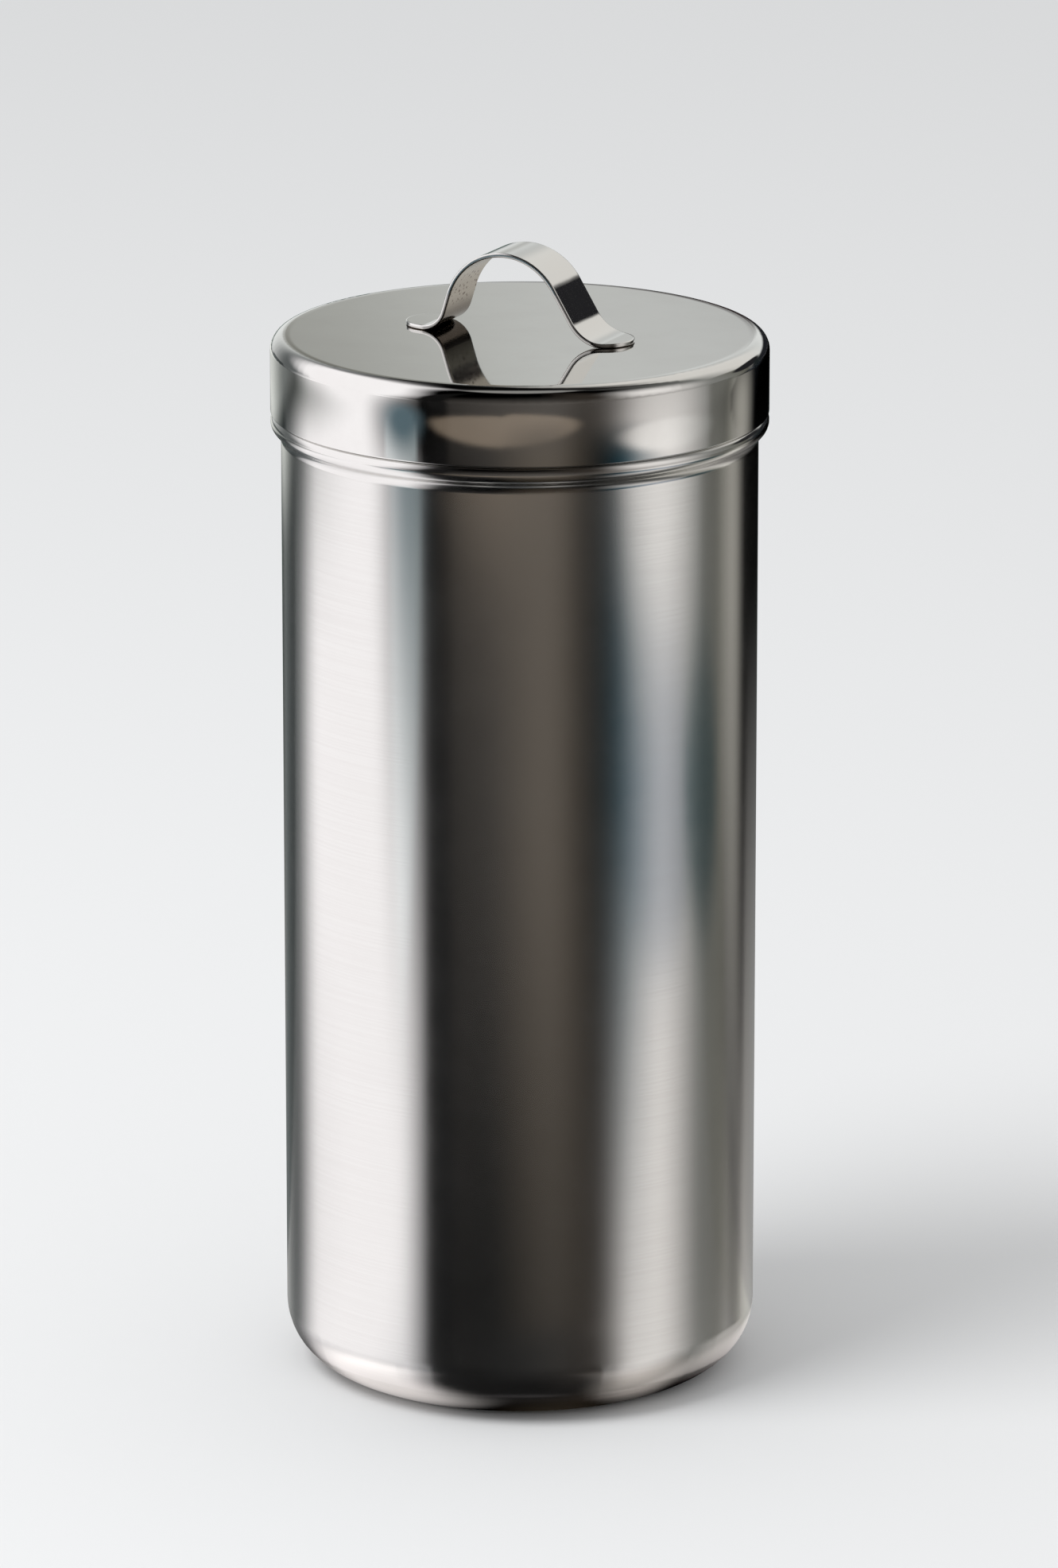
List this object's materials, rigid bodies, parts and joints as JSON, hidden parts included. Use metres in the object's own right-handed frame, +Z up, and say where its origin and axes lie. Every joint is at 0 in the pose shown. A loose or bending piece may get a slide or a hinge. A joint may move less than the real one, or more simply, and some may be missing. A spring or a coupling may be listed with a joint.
{
  "type": "sundry jar",
  "caption": "Tall round stainless-steel sundry jar with a rounded base, an outward bead, a slip-over lid and a bent strap handle welded to the lid.",
  "frame": {"origin": "middle of the base, on the surface that the jar stands on", "axes": "+Z up along the jar's axis; the strap handle runs along X, with its steeper leg at -X"},
  "size_m": [0.1096, 0.1096, 0.2546],
  "materials": {
    "satin_steel": "fine satin polish around the body",
    "polished_steel": "bright mirror polish",
    "weld_steel": "fused spot weld"
  },
  "bodies": {
    "jar": {"jar_body": "satin_steel"},
    "lid_and_handle": {"lid": "polished_steel", "strap_handle": "polished_steel", "weld_nuggets": "weld_steel"}
  },
  "joints": [
    {"name": "lid_lift", "type": "slide", "parent": "jar", "child": "lid_and_handle", "axis": [0, 0, 1], "range_m": [0, 0.08]}
  ]
}
